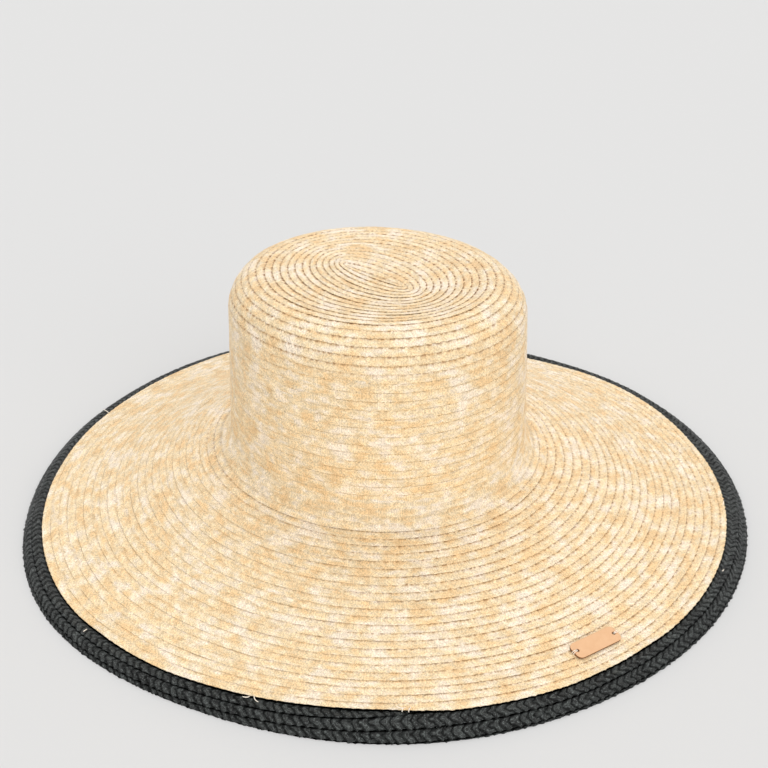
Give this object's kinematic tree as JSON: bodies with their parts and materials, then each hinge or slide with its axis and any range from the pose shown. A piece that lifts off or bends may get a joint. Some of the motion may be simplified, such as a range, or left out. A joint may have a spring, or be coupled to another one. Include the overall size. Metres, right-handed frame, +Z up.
{
  "type": "wide-brimmed straw hat",
  "caption": "Wide-brimmed straw hat sewn from one plait, with a flat-topped oval crown, a dark plaited edge and a small blank leather tag.",
  "frame": {"origin": "middle of the rim, on the surface that the hat rests on", "axes": "+Z up through the crown, Y along the hat's long axis, with the leather tag at the -Y end"},
  "size_m": [0.4593, 0.458, 0.1511],
  "materials": {
    "straw": "satin",
    "dark_straw": "satin",
    "leather": "matte"
  },
  "bodies": {
    "root": {"crown": "straw", "brim": "straw", "edge_row_1": "dark_straw", "edge_row_2": "dark_straw", "edge_lip": "dark_straw", "label_tag": "leather"}
  },
  "joints": []
}
